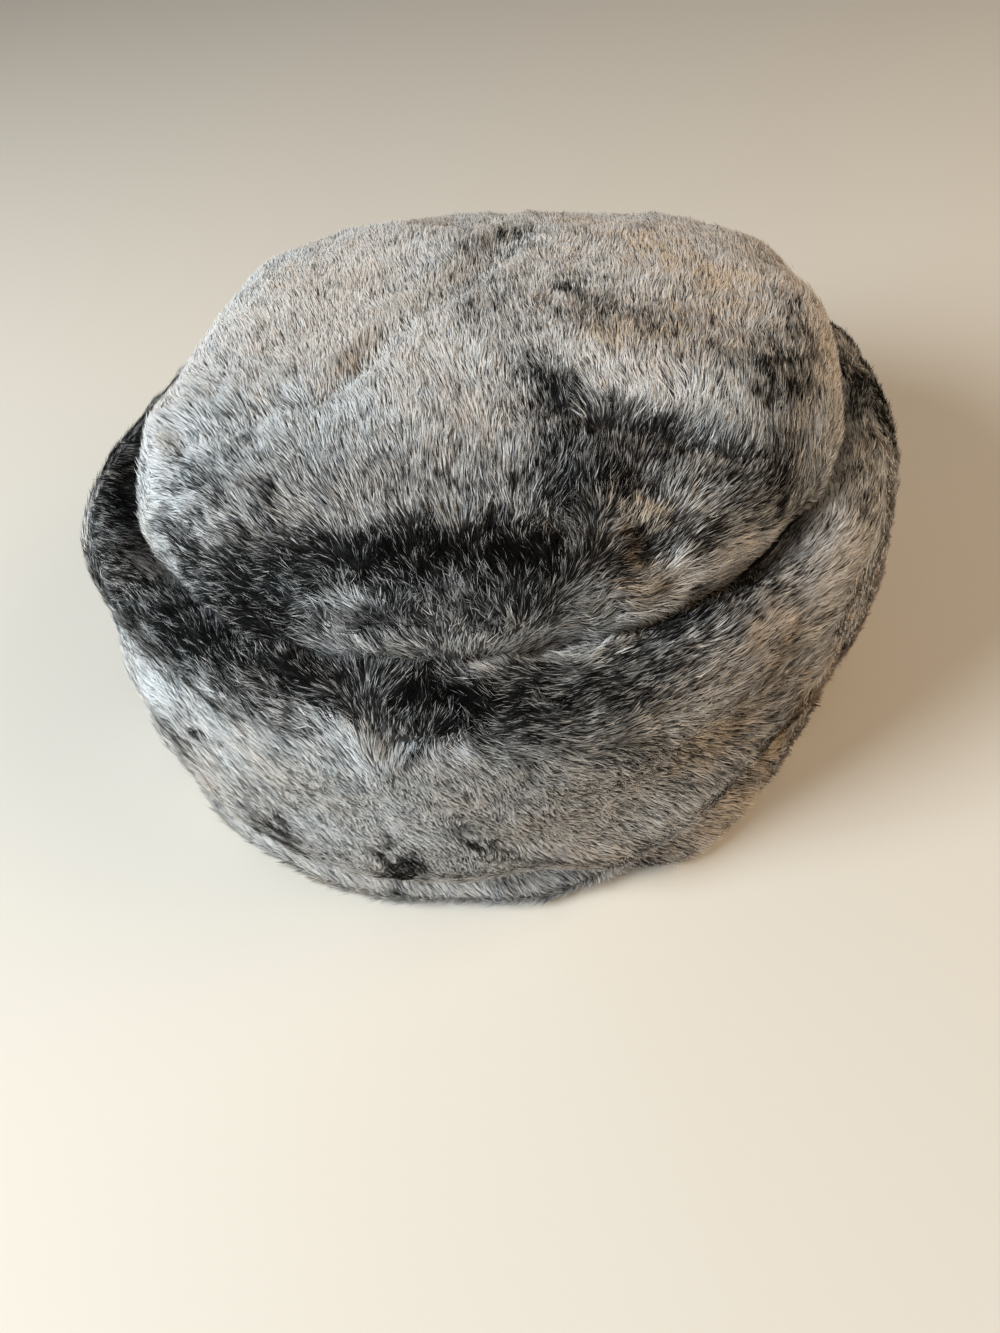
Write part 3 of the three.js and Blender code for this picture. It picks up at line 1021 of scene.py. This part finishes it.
def underfur_material():
    material, tree, shader = new_material("grey_underfur")
    wool = greys(tree, attribute(tree, "tone"), UNDERFUR_GREYS)
    specks = speckle(tree, UNDERFUR_LOOK["noise"], UNDERFUR_SPECKLE)
    tree.links.new(mix(tree, "MULTIPLY", 1.0, wool, specks), shader.inputs["Base Color"])
    shader.inputs["Roughness"].default_value = UNDERFUR_LOOK["roughness"]
    return material


def backing_material():
    material, tree, shader = new_material("knitted_backing")
    colour = speckle(tree, BACKING_LOOK["noise"], BACKING_SPECKLE)
    tree.links.new(colour, shader.inputs["Base Color"])
    shader.inputs["Roughness"].default_value = BACKING_LOOK["roughness"]
    return material


def floor_material():
    material, _, shader = new_material("pale_table")
    shader.inputs["Base Color"].default_value = (*FLOOR_LOOK["colour"], 1)
    shader.inputs["Roughness"].default_value = FLOOR_LOOK["roughness"]
    shader.inputs["Specular IOR Level"].default_value = FLOOR_LOOK["specular"]
    return material


# The hat

PILES = (
    {"name": "crown_pile_front", "form": CROWN, "from": -180, "to": 0, "seed": 101},
    {"name": "crown_pile_back", "form": CROWN, "from": 0, "to": 180, "seed": 102},
    {"name": "band_pile_front_left", "form": BAND, "from": -180, "to": -90, "seed": 103},
    {"name": "band_pile_front_right", "form": BAND, "from": -90, "to": 0, "seed": 104},
    {"name": "band_pile_back_right", "form": BAND, "from": 0, "to": 90, "seed": 105},
    {"name": "band_pile_back_left", "form": BAND, "from": 90, "to": 180, "seed": 106},
)

underfur, backing, pile = underfur_material(), backing_material(), pile_material()
for form in (CROWN, BAND):
    skin, inside = make_skin(form["name"] + "_skin", form)
    skin.data.materials.append(underfur)
    skin.data.materials.append(backing)
    skin.data.polygons.foreach_set("material_index", inside)
    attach(skin, "root")
    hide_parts(form["name"])

for row in PILES:
    piece = make_pile(row["name"], row["form"], row["from"], row["to"], row["seed"])
    piece.data.materials.append(pile)
    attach(piece, "root")
    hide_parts(row["form"]["name"])

# The table, light and camera


def make_floor():
    half = FLOOR_HALF
    corners = [(-half, -half, 0), (half, -half, 0), (half, half, 0), (-half, half, 0)]
    mesh = bpy.data.meshes.new("table_top")
    mesh.from_pydata(corners, [], [(0, 1, 2, 3)])
    floor = place_object("table_top", mesh)
    floor.data.materials.append(floor_material())


def make_light(name, place, size, power, colour):
    data = bpy.data.lights.new(name, "AREA")
    data.shape, data.size, data.energy, data.color = "DISK", size, power, colour
    light = bpy.data.objects.new(name, data)
    light.location = place
    light.rotation_euler = (Vector(LIT_PLACE) - Vector(place)).to_track_quat("-Z", "Y").to_euler()
    bpy.context.scene.collection.objects.link(light)


def make_room_light():
    world = bpy.data.worlds.new("room_light")
    world.use_nodes = True
    background = world.node_tree.nodes["Background"]
    background.inputs["Color"].default_value = (*ROOM_LIGHT["colour"], 1)
    background.inputs["Strength"].default_value = ROOM_LIGHT["strength"]
    bpy.context.scene.world = world


def make_camera():
    data = bpy.data.cameras.new("camera")
    data.sensor_width, data.lens = CAMERA["sensor"], CAMERA["lens"]
    data.clip_start = CAMERA["clip_start"]
    camera = bpy.data.objects.new("camera", data)
    camera.location = EYE
    camera.rotation_euler = CAMERA_TURN.to_euler()
    bpy.context.scene.collection.objects.link(camera)
    bpy.context.scene.camera = camera


make_floor()
for light in LIGHTS:
    make_light(**light)
make_room_light()
bpy.context.scene.view_settings.view_transform = "Standard"
make_camera()
